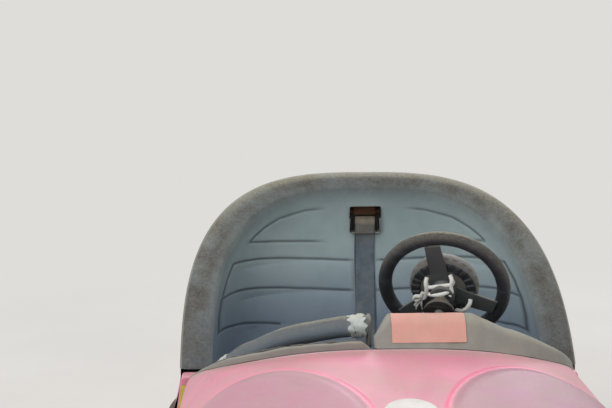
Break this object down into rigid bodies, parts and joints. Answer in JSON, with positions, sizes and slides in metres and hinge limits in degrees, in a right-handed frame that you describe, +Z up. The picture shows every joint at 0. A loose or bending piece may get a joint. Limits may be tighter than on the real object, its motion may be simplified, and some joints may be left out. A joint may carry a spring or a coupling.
{
  "type": "bumper car",
  "caption": "Two-seat dodgem car: moulded body over a steel pan, rubber bumper ring, padded seat, steering wheel and a steered drive wheel.",
  "frame": {"origin": "on the floor under the middle of the bumper's outline", "axes": "the car faces -Y, +X is its left-hand side, +Z is up"},
  "size_m": [1.2, 1.95, 0.905],
  "materials": {
    "pink_shell": "faded glossy gel coat, dusty on top",
    "band_shell": "darker glossy gel coat",
    "bumper_rubber": "dull black rubber, brown with dust on top",
    "trim_rubber": "satin black rubber",
    "tyre_rubber": "solid rubber tread",
    "wheel_metal": "cast, matt",
    "bright_steel": "turned shaft",
    "painted_steel": "black chassis paint",
    "green_motor": "enamel",
    "seat_vinyl": "blue-grey skinned foam, dusty",
    "cushion_vinyl": "dark vinyl",
    "dash_grey": "grey moulding under beige dust",
    "plate_salmon": "blank faded plate",
    "wheel_grip": "worn black grip",
    "wheel_spoke": "dark grey",
    "bar_vinyl": "blue-grey padded vinyl",
    "white_fitting": "off-white",
    "roundel_white": "blank",
    "lamp_collar": "black",
    "lamp_lens": "clear dome, dusty",
    "tail_lens": "red dome",
    "belt_webbing": "blue-grey webbing",
    "rusty_steel": "rusted",
    "liner_black": "black liner",
    "mat_rubber": "ribbed mat",
    "battery_case": "black case"
  },
  "bodies": {
    "car": {"floor_pan": "painted_steel", "bumper_channel": "painted_steel", "bumper_tyre": "bumper_rubber", "skirt_band": "band_shell", "nose_shell": "pink_shell", "tub_shell": "pink_shell", "sill_caps": "pink_shell", "nose_roundel": "roundel_white", "headlamp_collars": "lamp_collar", "headlamp_lenses": "lamp_lens", "tail_lamp_collars": "lamp_collar", "tail_lamp_lenses": "tail_lens", "cowl_dash": "dash_grey", "cowl_plate": "plate_salmon", "column_collar": "lamp_collar", "edge_trim": "trim_rubber", "grab_bar": "bar_vinyl", "grab_brackets": "white_fitting", "footwell_walls": "liner_black", "floor_mat": "mat_rubber", "pedal": "bright_steel", "seat_base": "liner_black", "seat_cushion": "cushion_vinyl", "seat_shell": "seat_vinyl", "belt_strap": "belt_webbing", "belt_anchor": "rusty_steel", "battery_block": "battery_case", "rear_axle": "bright_steel", "rear_axle_brackets": "painted_steel", "drive_tower": "painted_steel", "steering_gearbox": "painted_steel"},
    "steering": {"steering_shaft": "bright_steel", "steering_spokes": "wheel_spoke", "steering_rim": "wheel_grip", "steering_pad": "seat_vinyl"},
    "drive_unit": {"drive_fork": "painted_steel", "drive_motor": "green_motor"},
    "drive_wheel": {"drive_wheel_hub": "wheel_metal", "drive_wheel_tyre": "tyre_rubber"},
    "rear_left_wheel": {"rear_left_hub": "wheel_metal", "rear_left_tyre": "tyre_rubber"},
    "rear_right_wheel": {"rear_right_hub": "wheel_metal", "rear_right_tyre": "tyre_rubber"}
  },
  "joints": [
    {"name": "drive_swivel", "type": "hinge", "parent": "car", "child": "drive_unit", "pos_m": [0, -0.55981, 0.3], "axis": [0, 0, 1], "continuous": true},
    {"name": "steering_turn", "type": "hinge", "parent": "car", "child": "steering", "pos_m": [0.15, 0, 0.7], "axis": [0.2355, 0.879, 0.4147], "continuous": true},
    {"name": "drive_roll", "type": "hinge", "parent": "drive_unit", "child": "drive_wheel", "pos_m": [0, -0.55981, 0.115], "axis": [1, 0, 0], "continuous": true},
    {"name": "rear_left_roll", "type": "hinge", "parent": "car", "child": "rear_left_wheel", "pos_m": [0.385, 0.52, 0.1], "axis": [1, 0, 0], "continuous": true},
    {"name": "rear_right_roll", "type": "hinge", "parent": "car", "child": "rear_right_wheel", "pos_m": [-0.385, 0.52, 0.1], "axis": [1, 0, 0], "continuous": true}
  ],
  "couplings": [
    {"joint": "steering_turn", "follows": "drive_swivel", "ratio": 1}
  ]
}
